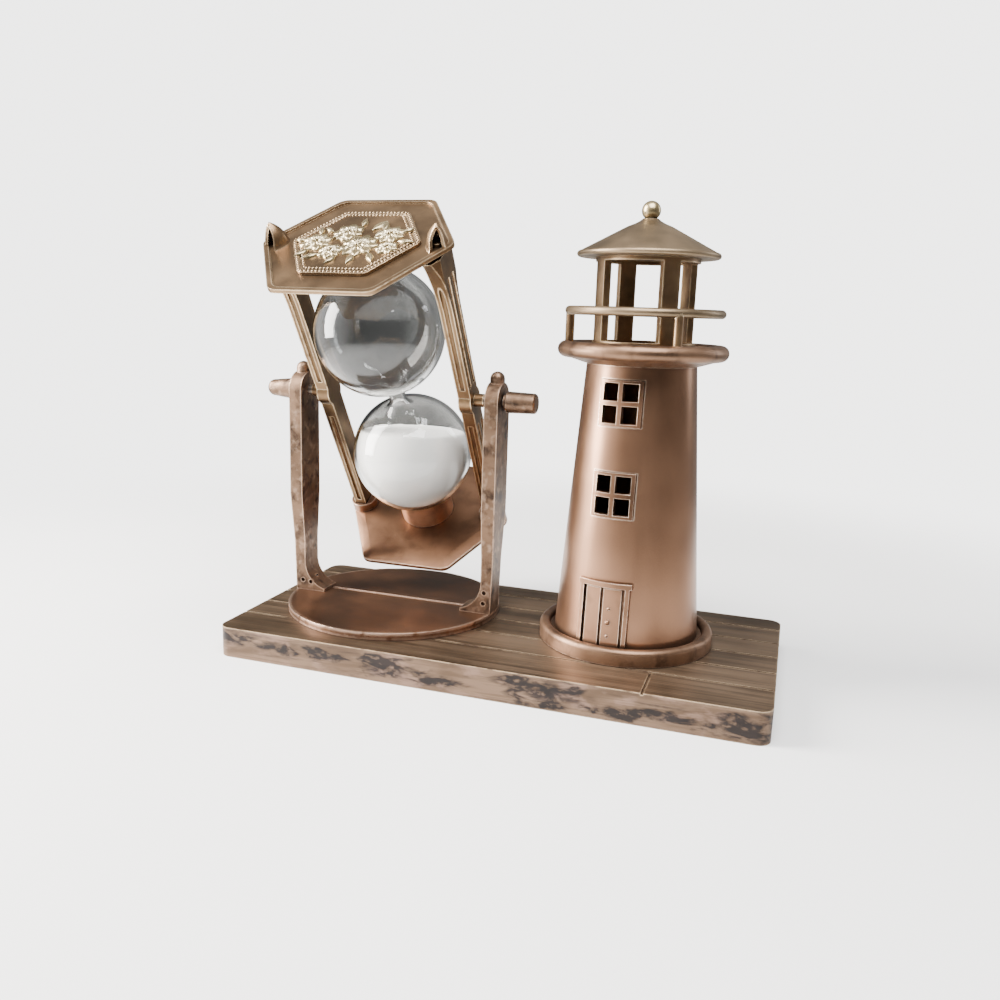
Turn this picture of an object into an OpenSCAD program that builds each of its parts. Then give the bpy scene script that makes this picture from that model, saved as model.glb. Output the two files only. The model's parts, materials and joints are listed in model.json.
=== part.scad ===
// Desk ornament: a swinging hourglass and a small lighthouse on one plank-look base board.
// Units are millimetres. X runs along the base, -Y is the front, +Z is up.
// The origin is the middle of the base's underside.

/* [Base board] */
// Length of the base board
base_l = 165; // [150:1:180]
// Depth of the base board, front to back
base_w = 76.4; // [76:0.2:84]
// Height of the base board
base_h = 9.4; // [8.6:0.1:12]
// Radius of the base board's upright corners
base_corner_r = 4; // [2:0.5:6]
// Thickness of the base board's side walls and top
base_wall = 2.4; // [2:0.1:3]
// Thickness of the cover under the base
cover_t = 1.6; // [1.2:0.1:2]
// Width of the front plank
front_plank_w = 15.4; // [14:0.1:17]
// Width of each of the other planks
plank_w = 12.7; // [11:0.1:13]
// Width of the grooves between the planks
groove_w = 0.7; // [0.4:0.1:1]
// Depth of the grooves between the planks
groove_d = 0.5; // [0.3:0.1:0.8]
// Place of the butt joint in the front plank
butt_joint_x = 48.5; // [40:0.5:60]

/* [Stand] */
// Middle of the stand, left of the base's middle
stand_x = -41.5; // [-43:0.5:-40]
// How far the stand and the lighthouse sit behind the base's middle line
row_y = 3.3; // [2:0.1:3.4]
// Radius of the round stand plate
disc_r = 35; // [34.5:0.1:35.5]
// Thickness of the round stand plate
disc_h = 2.3; // [2:0.1:3]
// Width of the ridge that joins the two feet
ridge_w = 0.8; // [0.5:0.1:1.2]
// Height of the ridge that joins the two feet
ridge_h = 0.4; // [0.2:0.1:0.6]
// From the stand's middle to the inner face of each upright
upright_in = 31.6; // [31.4:0.1:32]
// Thickness of each upright along the pivot
upright_t = 4.4; // [4:0.1:5]
// Depth of each upright near the pivot
upright_d = 11.8; // [10:0.1:13]
// Depth of each upright at its foot
upright_foot_d = 8.6; // [8:0.1:10]
// Radius of the concave gusset at each foot
gusset_r = 9; // [8:0.5:10]
// Radius of the round nub on top of each upright
nub_r = 2.3; // [2:0.1:2.6]

/* [Hourglass] */
// Height of the pivot's axis above the table
pivot_z = 79.7; // [78:0.1:84]
// How far the top of the hourglass leans towards the front
tilt = 32.7; // [0:0.1:60]
// Radius of the pivot pins
pin_r = 1.5; // [1.3:0.1:1.8]
// Running clearance of the pins in the uprights, on the radius
pin_clearance = 0.06; // [0.02:0.01:0.09]
// From the pivot's axis to the outer face of each end plate
frame_half = 53.7; // [52:0.1:55]
// From an end plate's middle to its left and right corners
plate_a = 30; // [29:0.1:30.4]
// From an end plate's middle to its front corners, sideways
plate_b = 15.2; // [14:0.1:17]
// From an end plate's middle to its front edge
plate_c = 25.9; // [24:0.1:27]
// Radius of the end plates' rounded corners
plate_round = 4; // [2:0.5:4]
// Thickness of the end plates, lip included
plate_t = 2.4; // [2:0.1:3]
// Height of the lip round each end plate
lip_h = 0.6; // [0.4:0.1:0.8]
// Width of the lip round each end plate
lip_w = 1.5; // [1:0.1:2]
// Width of the bevel inside each end plate
bevel_w = 3.5; // [2:0.1:3.6]
// Size of the raised panel, as a share of the end plate
panel_share = 0.67; // [0.6:0.01:0.7]
// Thickness of the raised panel
panel_t = 1; // [0.8:0.1:1.2]
// Middle of each side bar, from the frame's middle
bar_x = 24.6; // [24.3:0.1:25]
// Width of a side bar, seen from the front
bar_w = 4.2; // [4:0.1:4.6]
// Depth of a side bar, front to back
bar_d = 6.6; // [6:0.1:7]
// How far a side bar spreads, front and back, under the top plate
flare_out = 4.5; // [3:0.5:6]
// Height of that spread
flare_h = 19; // [14:1:22]
// Outer radius of each glass bulb
bulb_r = 19.9; // [19:0.1:20.2]
// From the neck to the middle of each bulb
bulb_z = 24.2; // [24:0.1:24.6]
// Outer radius of the glass neck
neck_r = 2.6; // [2.2:0.1:3]
// Thickness of the glass
glass_t = 1; // [0.8:0.1:1.2]
// How far the sand's level surface lies above the lower bulb's middle
sand_rise = 7.5; // [4:0.5:10]
// Outer radius of the cups that hold the bulbs' ends
seat_r = 9.2; // [8.6:0.1:9.6]
// Height of the pointed hoods on the end plates
claw_h = 6.8; // [6:0.1:8]
// Outer radius of the pointed hoods
claw_r = 2.9; // [2.8:0.1:2.9]

/* [Lighthouse] */
// Middle of the lighthouse, right of the base's middle
tower_x = 36.5; // [35:0.5:38]
// Direction that the door faces, from the front towards the left
door_turn = 9; // [0:1:20]
// Radius of the plinth
plinth_r = 26.4; // [26:0.1:27]
// Height of the plinth
plinth_h = 5; // [4:0.1:6]
// Radius of the tower at its foot
tower_foot_r = 21.8; // [21:0.1:22]
// Radius of the tower at its top
tower_top_r = 16; // [15.8:0.1:17]
// Thickness of the tower's wall
tower_wall = 1.8; // [1.6:0.1:2.2]
// Height of the tower's top above the table
tower_top_z = 93.4; // [92:0.1:95]
// Outer radius of the gallery deck
deck_r = 24.7; // [24:0.1:25]
// Height of the gallery deck's rim, at its middle
deck_z = 97.2; // [96.9:0.1:98]
// Radius of the rounded rim of the gallery deck
deck_rim_r = 2.3; // [2:0.1:2.5]
// Outer radius of the gallery rail
rail_r = 23; // [22.5:0.1:23.5]
// Height of the gallery rail
rail_z = 108.2; // [107:0.1:109]
// Radius of the gallery rail's round section
rail_tube_r = 1.25; // [1:0.05:1.4]
// Outer radius of the lantern room
lantern_r = 14.9; // [14.5:0.1:15.2]
// Width of the lantern room's posts
post_w = 5.2; // [4:0.1:6]
// Thickness of the lantern room's posts
post_t = 2.1; // [1.8:0.1:2.4]
// Outer radius of the roof
roof_r = 20.4; // [20:0.1:21]
// Height of the roof's underside above the table
roof_z = 123.3; // [122:0.1:124]
// Radius of the ball on the roof
ball_r = 2.7; // [2.4:0.1:3]
// Width of each window frame
window_w = 12.7; // [12:0.1:13]
// Height of each window frame
window_h = 13.2; // [12:0.1:14]
// Height of the middle of the lower window above the table
lower_window_z = 57.2; // [50:0.5:60]
// Height of the middle of the upper window above the table
upper_window_z = 83; // [78:0.5:84]
// Width of the door between its jambs
door_w = 12.4; // [11:0.1:13]
// Height of the door's lintel above the table
door_top_z = 32.4; // [30:0.1:34]

/* [Hidden] */
$fn = 64;
slack = 0.1;                              // assembly gap around parts that drop into each other
hair = 0.02;                              // gap around a screw in its own thread
overcut = 1;                              // how far a cutting shape runs past the material

floor_z = base_h + disc_h;                // top of the stand plate
ridge_l = 2 * upright_in - 15;            // stops just short of both feet
ridge_y = 1.4;
foot_tilt_in = 1.0;                       // how far an upright's outer face leans in at its foot
upright_out = upright_in + upright_t;
waist_z = 29;                             // the uprights widen from here
shoulder_z = 45;                          // to here
plate_in = frame_half - plate_t;          // pivot axis to an end plate's inner face
plate_floor = frame_half - lip_h;         // pivot axis to an end plate's sunken outer face
bevel_h = 1.2;
bar_in = bar_x - bar_w / 2;
bar_out = bar_x + bar_w / 2;
boss_r = 4.4;                             // round boss of a side bar at the pivot
flare_share = 0.98;                       // of the end plate's outline, that a bar's top stays inside
flute_r = 0.8;                            // radius of the grooves along a side bar
collar_r = 2.1;
collar_end = bar_out + 3.2;
knob_start = upright_out + 0.3;
knob_end = 46.7;
ferrule_r = 4.6;
ferrule_h = 3;

screw_r = 1;
screw_head_r = 2;
screw_head_h = 1.6;
clear_r = screw_r + 0.15;
base_ceiling = base_h - base_wall;        // underside of the base board's top
boss_w = 2.6;                             // radius of the screw bosses
cover_screw_x = base_l / 2 - 8.5;
cover_screw_y = base_w / 2 - 8.2;
stand_screw_x = 30.4;
tower_screw_at = 18.2;                    // radius of the three screws under the tower

plinth_rim = 1.6;                         // radius of the plinth's rounded rim
plinth_sink = 2;
tower_foot_z = base_h + plinth_h - plinth_sink;
deck_floor_z = deck_z + 1.4;
spigot_r = 13.6;
spigot_h = 3;
lantern_ring_h = 1.2;
baluster_r = 1.3;
rail_mid_r = rail_r - rail_tube_r;
baluster_turns = [43, 163, -77];          // seen from above, from the door's direction
ball_z = 136.4;
roof_neck_z = 134.2;
roof_neck_r = 1.7;
raise = 0.6;                              // how far the window frames stand proud
door_raise = 0.9;
door_gap = 0.9;                           // dark gap round and between the two leaves
leaf_split_x = -0.4;                      // middle of the gap between the leaves
knob_x = 1.9;
stud_r = 0.45;
jamb_w = 1.3;
jamb_raise = 1.3;
pane_w = 4.4;
pane_h = 4.9;
bar_gap = 1.4;                            // glazing bar between two panes

// ---------- outlines and helpers ----------

// The hexagon of an end plate, anticlockwise from its right corner.
function hexagon(share = 1) = share * [
    [plate_a, 0], [plate_b, plate_c], [-plate_b, plate_c],
    [-plate_a, 0], [-plate_b, -plate_c], [plate_b, -plate_c]
];

function toward(from, to) = (to - from) / norm(to - from);

// That hexagon with rounded corners.
module plate_outline(share = 1) {
    points = hexagon(share);
    r = share * plate_round;
    back = [for (i = [0 : 5]) toward(points[i], points[(i + 5) % 6])];
    ahead = [for (i = [0 : 5]) toward(points[i], points[(i + 1) % 6])];
    half = [for (i = [0 : 5]) acos(back[i] * ahead[i]) / 2];
    polygon([for (i = [0 : 5], way = [back[i], ahead[i]]) points[i] + way * r / tan(half[i])]);
    for (i = [0 : 5])
        translate(points[i] + toward([0, 0], back[i] + ahead[i]) * r / sin(half[i])) circle(r);
}

module rounded_rectangle(length, depth, r) {
    square([length - 2 * r, depth], center = true);
    square([length, depth - 2 * r], center = true);
    for (x = [-1, 1], y = [-1, 1])
        translate([x * (length / 2 - r), y * (depth / 2 - r)]) circle(r);
}

// A block whose X and Y middle is at the origin and whose underside is at z.
module block(x, y, z, height) {
    translate([-x / 2, -y / 2, z]) cube([x, y, height]);
}

module at_four_corners(x, y) {
    for (i = [-1, 1], j = [-1, 1]) translate([i * x, j * y, 0]) children();
}

module at_stand() {
    translate([stand_x, row_y, 0]) children();
}

module at_tower() {
    translate([tower_x, row_y, 0]) children();
}

// The swinging frame's own axes: X along the pivot, Z up through both bulbs.
module swung() {
    translate([stand_x, row_y, pivot_z]) rotate([tilt, 0, 0]) children();
}

// Turns a part drawn for the right-hand side to the left-hand side.
module on_side(side) {
    if (side < 0) mirror([1, 0, 0]) children();
    else children();
}

// Turns a part drawn for the top end plate to the bottom one.
module on_end(end) {
    if (end < 0) rotate([180, 0, 0]) children();
    else children();
}

// ---------- base ----------

module base_board() {
    color("#8a6a50") difference() {
        linear_extrude(base_h) rounded_rectangle(base_l, base_w, base_corner_r);
        base_pocket();
        plank_grooves();
        at_stand() for (x = [-1, 1])
            translate([x * stand_screw_x, 0, 0]) cylinder(r = clear_r, h = base_h + overcut);
        at_tower() at_tower_screws() cylinder(r = clear_r, h = base_h + overcut);
    }
    color("#8a6a50") at_four_corners(cover_screw_x, cover_screw_y) difference() {
        translate([0, 0, cover_t]) cylinder(r = boss_w, h = base_ceiling - cover_t + hair);
        cylinder(r = screw_r + hair, h = base_ceiling - 0.6);
    }
}

module base_pocket() {
    pocket_l = base_l - 2 * base_wall;
    pocket_w = base_w - 2 * base_wall;
    translate([0, 0, -overcut]) linear_extrude(base_ceiling + overcut)
        rounded_rectangle(pocket_l, pocket_w, base_corner_r - base_wall);
    translate([0, 0, -overcut]) linear_extrude(cover_t + overcut)
        rounded_rectangle(base_l - base_wall, base_w - base_wall, base_corner_r - base_wall / 2);
}

module plank_grooves() {
    first = -base_w / 2 + front_plank_w;
    for (y = [first : plank_w : base_w / 2 - plank_w / 2])
        translate([-base_l / 2 - overcut, y - groove_w / 2, base_h - groove_d])
            cube([base_l + 2 * overcut, groove_w, groove_d + overcut]);
    translate([butt_joint_x, -base_w / 2 - overcut, base_h - groove_d])
        cube([groove_w, front_plank_w + overcut, groove_d + overcut]);
}

module base_cover() {
    gap = 2 * slack;
    color("#3b2f28") difference() {
        linear_extrude(cover_t) rounded_rectangle(
            base_l - base_wall - gap, base_w - base_wall - gap, base_corner_r - base_wall / 2 - slack);
        at_four_corners(cover_screw_x, cover_screw_y) {
            translate([0, 0, -overcut]) cylinder(r = clear_r, h = cover_t + 2 * overcut);
            translate([0, 0, -overcut]) cylinder(r = screw_head_r + slack, h = overcut + 1);
        }
    }
}

module screw(length) {
    cylinder(r = screw_head_r, h = screw_head_h);
    cylinder(r = screw_r, h = length);
}

module cover_screws() {
    head_h = 0.8;
    color("#b9b2a6") at_four_corners(cover_screw_x, cover_screw_y) {
        translate([0, 0, 1 - head_h]) cylinder(r = screw_head_r, h = head_h);
        translate([0, 0, 0.5]) cylinder(r = screw_r, h = base_ceiling - 1.4);
    }
}

// ---------- stand ----------

module stand_plate() {
    color("#9c6b4c") at_stand() difference() {
        union() {
            translate([0, 0, base_h]) cylinder(r = disc_r, h = disc_h);
            translate([-ridge_l / 2, ridge_y, floor_z]) cube([ridge_l, ridge_w, ridge_h]);
        }
        for (x = [-1, 1])
            translate([x * stand_screw_x, 0, base_h - overcut])
                cylinder(r = clear_r, h = disc_h + 2 * overcut);
    }
}

// Front view of an upright: outer face leaning in at the foot, concave gusset inside.
module upright_front_outline() {
    foot_in = upright_in - gusset_r + 2;
    head_z = pivot_z + upright_d / 2;
    polygon([
        [upright_out - foot_tilt_in, floor_z], [upright_out, shoulder_z],
        [upright_out, head_z], [upright_in, head_z], [upright_in, floor_z]
    ]);
    difference() {
        translate([foot_in, floor_z]) square([upright_in - foot_in + hair, gusset_r + 0.8]);
        translate([upright_in - gusset_r, floor_z + gusset_r + 0.8]) circle(gusset_r);
    }
}

// Side view of an upright: slim foot, wider above, round head at the pivot.
module upright_side_outline() {
    half = upright_d / 2;
    half_foot = upright_foot_d / 2;
    polygon([
        [-half_foot, floor_z], [half_foot, floor_z], [half_foot, waist_z], [half, shoulder_z],
        [half, pivot_z], [-half, pivot_z], [-half, shoulder_z], [-half_foot, waist_z]
    ]);
    translate([0, pivot_z]) circle(half);
}

module upright(side, dimples) {
    head_z = pivot_z + upright_d / 2;
    mid = upright_in + upright_t / 2;
    at_stand() on_side(side) difference() {
        union() {
            intersection() {
                rotate([90, 0, 0]) translate([0, 0, -upright_d])
                    linear_extrude(2 * upright_d) upright_front_outline();
                rotate([90, 0, 90]) linear_extrude(upright_out + overcut) upright_side_outline();
            }
            translate([mid, 0, head_z - 1.5]) cylinder(r = nub_r, h = 2.6);
            translate([mid, 0, head_z + 1.1]) sphere(r = nub_r);
        }
        translate([upright_in - overcut, 0, pivot_z]) rotate([0, 90, 0])
            cylinder(r = pin_r + pin_clearance, h = upright_t + 2 * overcut);
        translate([stand_screw_x, 0, floor_z - overcut])
            cylinder(r = screw_r + hair, h = overcut + 4.4);
        for (p = dimples)
            translate([p.x, -upright_foot_d / 2 + 0.8, p.y]) rotate([90, 0, 0]) cylinder(r = 0.7, h = 3);
    }
}

module left_upright() {
    color("#a8805f") upright(-1, [[32.6, floor_z + 3.4], [29.6, floor_z + 3]]);
}

module right_upright() {
    color("#a8805f") upright(1, [[32.6, floor_z + 3.4], [32.8, floor_z + 7]]);
}

module stand_screws() {
    head_z = base_ceiling - screw_head_h;
    color("#b9b2a6") at_stand() for (x = [-1, 1])
        translate([x * stand_screw_x, 0, head_z]) screw(floor_z - head_z + 4);
}

// ---------- lighthouse ----------

module at_tower_screws() {
    for (turn = [0, 120, 240])
        rotate([0, 0, turn - 90 - door_turn + 60]) translate([tower_screw_at, 0, 0]) children();
}

// Turns a part drawn facing -Y to the door's direction.
module facing_door() {
    rotate([0, 0, -door_turn]) children();
}

module tower_plinth() {
    rim_mid = plinth_r - plinth_rim;
    top = base_h + plinth_h;
    color("#a87552") at_tower() difference() {
        rotate_extrude() {
            translate([0, base_h]) square([rim_mid, plinth_h - plinth_sink]);
            translate([0, base_h]) square([plinth_r, plinth_h - plinth_rim]);
            translate([rim_mid, top - plinth_rim]) circle(plinth_rim);
        }
        at_tower_screws() cylinder(r = clear_r, h = tower_foot_z + overcut);
        translate([0, 0, tower_foot_z]) cylinder(r = tower_foot_r + jamb_raise + slack, h = plinth_h);
    }
}

function tower_r(z) =
    tower_foot_r + (tower_top_r - tower_foot_r) * (z - tower_foot_z) / (tower_top_z - tower_foot_z);

// The tower's cone, moved out or in by a given amount.
module tower_cone(out) {
    rotate_extrude() polygon([
        [0, tower_foot_z], [tower_foot_r + out, tower_foot_z],
        [tower_top_r + out, tower_top_z], [0, tower_top_z]
    ]);
}

// A block that runs out from the tower's middle through its wall at the door's side.
module wall_block(width, height, z) {
    translate([-width / 2, -2 * tower_foot_r, z]) cube([width, 2 * tower_foot_r, height]);
}

module tower_shell() {
    color("#b07a56") at_tower() difference() {
        union() {
            difference() {
                tower_cone(0);
                translate([0, 0, -overcut]) rotate_extrude() polygon([
                    [0, tower_foot_z], [tower_foot_r - tower_wall, tower_foot_z],
                    [tower_top_r - tower_wall, tower_top_z + 2 * overcut], [0, tower_top_z + 2 * overcut]
                ]);
            }
            at_tower_screws() translate([0, 0, tower_foot_z + 0.3]) cylinder(r = boss_w, h = 7.7);
        }
        at_tower_screws() translate([0, 0, tower_foot_z - overcut])
            cylinder(r = screw_r + hair, h = 7.4);
        facing_door() for (z = [lower_window_z, upper_window_z])
            wall_block(window_w, window_h, z - window_h / 2);
    }
}

// A window frame with four panes, curved like the tower's wall.
module window_frame(z) {
    at_tower() facing_door() difference() {
        intersection() {
            difference() {
                tower_cone(raise);
                tower_cone(raise - tower_wall);
            }
            wall_block(window_w - slack, window_h - slack, z - (window_h - slack) / 2);
        }
        for (i = [-1, 1], j = [-1, 1])
            translate([i * (pane_w + bar_gap) / 2, 0, j * (pane_h + bar_gap) / 2])
                wall_block(pane_w, pane_h, z - pane_h / 2);
    }
}

module upper_window() {
    color("#c08a66") window_frame(upper_window_z);
}

module lower_window() {
    color("#c08a66") window_frame(lower_window_z);
}

// A skin of the tower's wall that stands proud by a given amount.
module wall_skin(out) {
    difference() {
        tower_cone(out);
        tower_cone(0);
    }
}

module door_surround() {
    color("#c08a66") at_tower() facing_door() difference() {
        intersection() {
            wall_skin(jamb_raise);
            union() {
                wall_block(door_w + 2 * jamb_w, door_top_z - tower_foot_z, tower_foot_z);
                wall_block(door_w + 2 * jamb_w + 1, 1.6, door_top_z - 1.6);
            }
        }
        wall_block(door_w, door_top_z - 1.6 - tower_foot_z + overcut, tower_foot_z - overcut);
    }
}

// A round knob or stud on the door's right leaf.
module door_knob(r, z) {
    difference() {
        translate([knob_x, -tower_r(z) - door_raise + 0.1, z]) sphere(r = r);
        tower_cone(door_raise / 2);
    }
}

module front_door() {
    leaf_h = door_top_z - 1.8 - tower_foot_z;
    knob_z = tower_foot_z + 0.46 * leaf_h;
    color("#b98460") at_tower() facing_door() {
        difference() {
            intersection() {
                wall_skin(door_raise);
                wall_block(door_w - 2 * door_gap, leaf_h, tower_foot_z);
            }
            translate([leaf_split_x, 0, 0])
                wall_block(door_gap, leaf_h + 2 * overcut, tower_foot_z - overcut);
        }
        door_knob(0.75, knob_z);
        for (z = [knob_z - 4, knob_z + 4]) door_knob(stud_r, z);
    }
}

module tower_screws() {
    head_z = base_ceiling - screw_head_h;
    color("#b9b2a6") at_tower() at_tower_screws()
        translate([0, 0, head_z]) screw(tower_foot_z - head_z + 6);
}

module gallery_deck() {
    rim_mid = deck_r - deck_rim_r;
    color("#ab7f5f") at_tower() difference() {
        rotate_extrude() {
            translate([0, tower_top_z - spigot_h]) square([spigot_r, spigot_h + overcut]);
            polygon([
                [0, tower_top_z], [tower_top_r + 0.8, tower_top_z],
                [rim_mid, deck_z - deck_rim_r + 0.2], [rim_mid, deck_floor_z], [0, deck_floor_z]
            ]);
            translate([rim_mid, deck_z]) circle(deck_rim_r);
        }
        facing_door() for (turn = baluster_turns)
            rotate([0, 0, turn - 90]) translate([rail_mid_r, 0, deck_z])
                cylinder(r = baluster_r + hair, h = 2 * deck_rim_r);
    }
}

// A tube with a ring at each end and four posts at the corners of the door's square.
module lantern_room() {
    height = roof_z - deck_floor_z;
    color("#a3845f") at_tower() facing_door() translate([0, 0, deck_floor_z]) intersection() {
        difference() {
            cylinder(r = lantern_r, h = height);
            translate([0, 0, -overcut]) cylinder(r = lantern_r - post_t, h = height + 2 * overcut);
        }
        union() {
            for (turn = [45, 135, 225, 315])
                rotate([0, 0, turn]) translate([0, -post_w / 2, 0]) cube([2 * lantern_r, post_w, height]);
            for (z = [0, height - lantern_ring_h])
                translate([0, 0, z]) cylinder(r = 2 * lantern_r, h = lantern_ring_h);
        }
    }
}

module rail_ring() {
    rotate_extrude() translate([rail_mid_r, rail_z]) circle(rail_tube_r);
}

module gallery_rail() {
    color("#a88f66") at_tower() rail_ring();
}

module rail_balusters() {
    color("#a08060") at_tower() facing_door() for (turn = baluster_turns)
        rotate([0, 0, turn - 90]) difference() {
            translate([rail_mid_r, 0, deck_z]) cylinder(r = baluster_r, h = rail_z - deck_z);
            rail_ring();
        }
}

module roof() {
    rim = 0.85;
    slope_r = roof_r - rim;
    slope_z = roof_z + 2 * rim;
    hollow_r = lantern_r - post_t - 0.4;
    color("#9c8a62") at_tower() difference() {
        rotate_extrude() {
            polygon([
                [0, roof_z], [slope_r, roof_z], [slope_r, slope_z], [6.4, 132], [4.4, 132.8],
                [3.1, 133.5], [2.2, roof_neck_z], [0, roof_neck_z]
            ]);
            translate([slope_r, roof_z + rim]) circle(rim);
        }
        translate([0, 0, roof_z - overcut]) cylinder(r1 = hollow_r + overcut, r2 = 2.6, h = 7.4 + overcut);
        cylinder(r = roof_neck_r / 2 + hair, h = 2 * roof_neck_z);
    }
}

module roof_finial() {
    color("#c9b48a") at_tower() {
        difference() {
            translate([0, 0, ball_z]) sphere(r = ball_r);
            translate([0, 0, roof_neck_z]) block(8, 8, -8, 8);
        }
        translate([0, 0, roof_neck_z - 3]) cylinder(r = roof_neck_r / 2, h = 4);
    }
}

// ---------- hourglass frame ----------

// An end plate drawn for the top: lip outside, bevel inside, screw holes at the bars.
module plate_blank() {
    difference() {
        translate([0, 0, plate_in]) linear_extrude(plate_t) plate_outline();
        for (i = [0 : 5]) edge_bevel(i);
        translate([0, 0, plate_floor]) linear_extrude(lip_h + overcut)
            plate_outline(1 - lip_w / plate_c);
        for (side = [-1, 1])
            translate([side * bar_x, 0, plate_in - overcut]) cylinder(r = clear_r, h = plate_t + 2 * overcut);
    }
}

// A wedge that bevels the inner side of an end plate along one of its six edges.
module edge_bevel(i) {
    from = hexagon()[i];
    to = hexagon()[(i + 1) % 6];
    along = to - from;
    slope = atan(bevel_h / bevel_w);
    translate([from.x, from.y, plate_in + bevel_h]) rotate([0, 0, atan2(along.y, along.x)])
        rotate([-slope, 0, 0]) translate([-20, -overcut, -5]) cube([norm(along) + 40, 10, 5]);
}

module top_plate() {
    color("#a58358") swung() plate_blank();
}

module bottom_plate() {
    color("#a9744f") swung() on_end(-1) plate_blank();
}

// A raised hexagonal panel with a double border, in the sunken face of an end plate.
module panel_blank() {
    groove_from = panel_share - 0.08;
    groove_to = panel_share - 0.05;
    translate([0, 0, plate_floor]) difference() {
        linear_extrude(panel_t) plate_outline(panel_share);
        translate([0, 0, panel_t - 0.3]) linear_extrude(overcut) difference() {
            plate_outline(groove_to);
            plate_outline(groove_from);
        }
    }
}

module top_panel() {
    color("#cdb384") swung() panel_blank();
}

module bottom_panel() {
    color("#cdb384") swung() on_end(-1) panel_blank();
}

// Side view of a pointed dome, half of it, as a few straight stretches along a true arc.
module ogive(r, h) {
    big = (r * r + h * h) / (2 * r);
    top = asin(h / big);
    polygon([[0, 0], for (i = [0 : 4]) [r - big + big * cos(i * top / 4), big * sin(i * top / 4)]]);
}

// A hollow pointed hood over the screw of a side bar, open towards the plate's front edge.
module claw(side, end) {
    wall = 1;
    mouth_y = -1.2;
    swung() on_end(end) on_side(side) translate([bar_x, 0, plate_floor]) intersection() {
        rotate_extrude() difference() {
            ogive(claw_r, claw_h);
            translate([0, -hair]) ogive(claw_r - wall, claw_h - 1.6 * wall);
        }
        translate([-10, mouth_y, 0]) cube([20, 20, 20]);
    }
}

module top_left_claw() {
    color("#a58358") claw(-1, 1);
}

module top_right_claw() {
    color("#a58358") claw(1, 1);
}

module bottom_left_claw() {
    color("#a58358") claw(-1, -1);
}

module bottom_right_claw() {
    color("#a58358") claw(1, -1);
}

// Side view of a side bar: straight, spreading under the top plate.
module bar_outline() {
    half = bar_d / 2;
    curve = (flare_out * flare_out + flare_h * flare_h) / (2 * flare_out);
    translate([-half, -plate_in]) square([bar_d, 2 * plate_in]);
    circle(boss_r);
    for (y = [-1, 1]) difference() {
        translate([y < 0 ? -half - flare_out : 0, plate_in - flare_h])
            square([half + flare_out, flare_h]);
        translate([y * (half + curve), plate_in - flare_h]) circle(curve);
    }
}

// Four grooves along the bar, two above the boss and two below, on one of its faces.
module flutes() {
    for (z = [-1, 1])
        translate([0, 0, z > 0 ? boss_r + 1.5 : -plate_in + 5]) cylinder(r = flute_r, h = plate_in - boss_r - 9);
}

module side_bar(side) {
    swung() on_side(side) difference() {
        union() {
            translate([bar_in, 0, 0]) rotate([90, 0, 90]) linear_extrude(bar_w) bar_outline();
            translate([bar_out, 0, 0]) rotate([0, 90, 0]) cylinder(r = collar_r, h = collar_end - bar_out);
        }
        translate([bar_in + 1, 0, 0]) rotate([0, 90, 0]) cylinder(r = pin_r, h = 20);
        for (y = [-1, 1]) translate([bar_x, y * (bar_d / 2 + 0.25), 0]) flutes();
        for (y = [-1, 1]) translate([bar_out + 0.25, y * bar_d / 4, 0]) flutes();
        for (z = [-1, 1]) translate([bar_x, 0, z > 0 ? plate_in - 7 : -plate_in - overcut])
            cylinder(r = screw_r - 0.1, h = 7 + overcut);
        flare_trim();
    }
}

// Keeps a bar's flared top just inside the end plate's outline.
module flare_trim() {
    translate([0, 0, plate_in - flare_h]) linear_extrude(flare_h + overcut) difference() {
        square(4 * plate_a, center = true);
        plate_outline(flare_share);
    }
}

module left_bar() {
    color("#9a7350") side_bar(-1);
}

module right_bar() {
    color("#9a7350") side_bar(1);
}

// A round collar that a side bar's foot passes through, on the bottom plate.
module ferrule(side) {
    foot_z = -plate_in - bevel_h;
    swung() on_side(side) difference() {
        translate([bar_x, 0, foot_z]) rotate([0, 0, 90])
            cylinder(r = ferrule_r, h = bevel_h + ferrule_h);
        on_end(-1) plate_blank();
        translate([bar_in - slack, -bar_d / 2 - slack, foot_z - overcut])
            cube([bar_w + 2 * slack, bar_d + 2 * slack, bevel_h + ferrule_h + 2 * overcut]);
    }
}

module left_ferrule() {
    color("#b58a66") ferrule(-1);
}

module right_ferrule() {
    color("#b58a66") ferrule(1);
}

module plate_screws() {
    head_h = 1;
    color("#b9b2a6") swung() for (side = [-1, 1], end = [-1, 1])
        on_end(end) translate([side * bar_x, 0, 0]) {
            translate([0, 0, plate_floor]) cylinder(r = 1.7, h = head_h);
            translate([0, 0, plate_in - 6]) cylinder(r = screw_r - 0.12, h = 8);
        }
}

module pivot_pin(side) {
    swung() on_side(side) translate([bar_in + 1, 0, 0]) rotate([0, 90, 0])
        cylinder(r = pin_r, h = knob_end - 3 - bar_in - 1);
}

module left_pivot_pin() {
    color("#b9b2a6") pivot_pin(-1);
}

module right_pivot_pin() {
    color("#b9b2a6") pivot_pin(1);
}

// A knob pushed on a pin's outer end: root radius, tip radius and the tip's rounding.
module knob(side, root_r, tip_r, round_r) {
    length = knob_end - knob_start;
    swung() on_side(side) translate([knob_start, 0, 0]) rotate([0, 90, 0]) difference() {
        rotate_extrude() {
            polygon([
                [0, 0], [root_r - 0.9, 0], [root_r - 0.9, 0.8], [root_r, 1.1],
                [tip_r, length - round_r], [0, length - round_r]
            ]);
            translate([0, length - round_r - hair]) square([tip_r - round_r, round_r + hair]);
            intersection() {
                translate([tip_r - round_r, length - round_r]) circle(round_r);
                translate([0, length - round_r - hair]) square([tip_r, round_r + hair]);
            }
        }
        translate([0, 0, -overcut]) cylinder(r = pin_r, h = knob_end - 3 - knob_start + overcut);
    }
}

module left_knob() {
    color("#b08a6c") knob(-1, 3.5, 2.7, 2.2);
}

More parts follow.
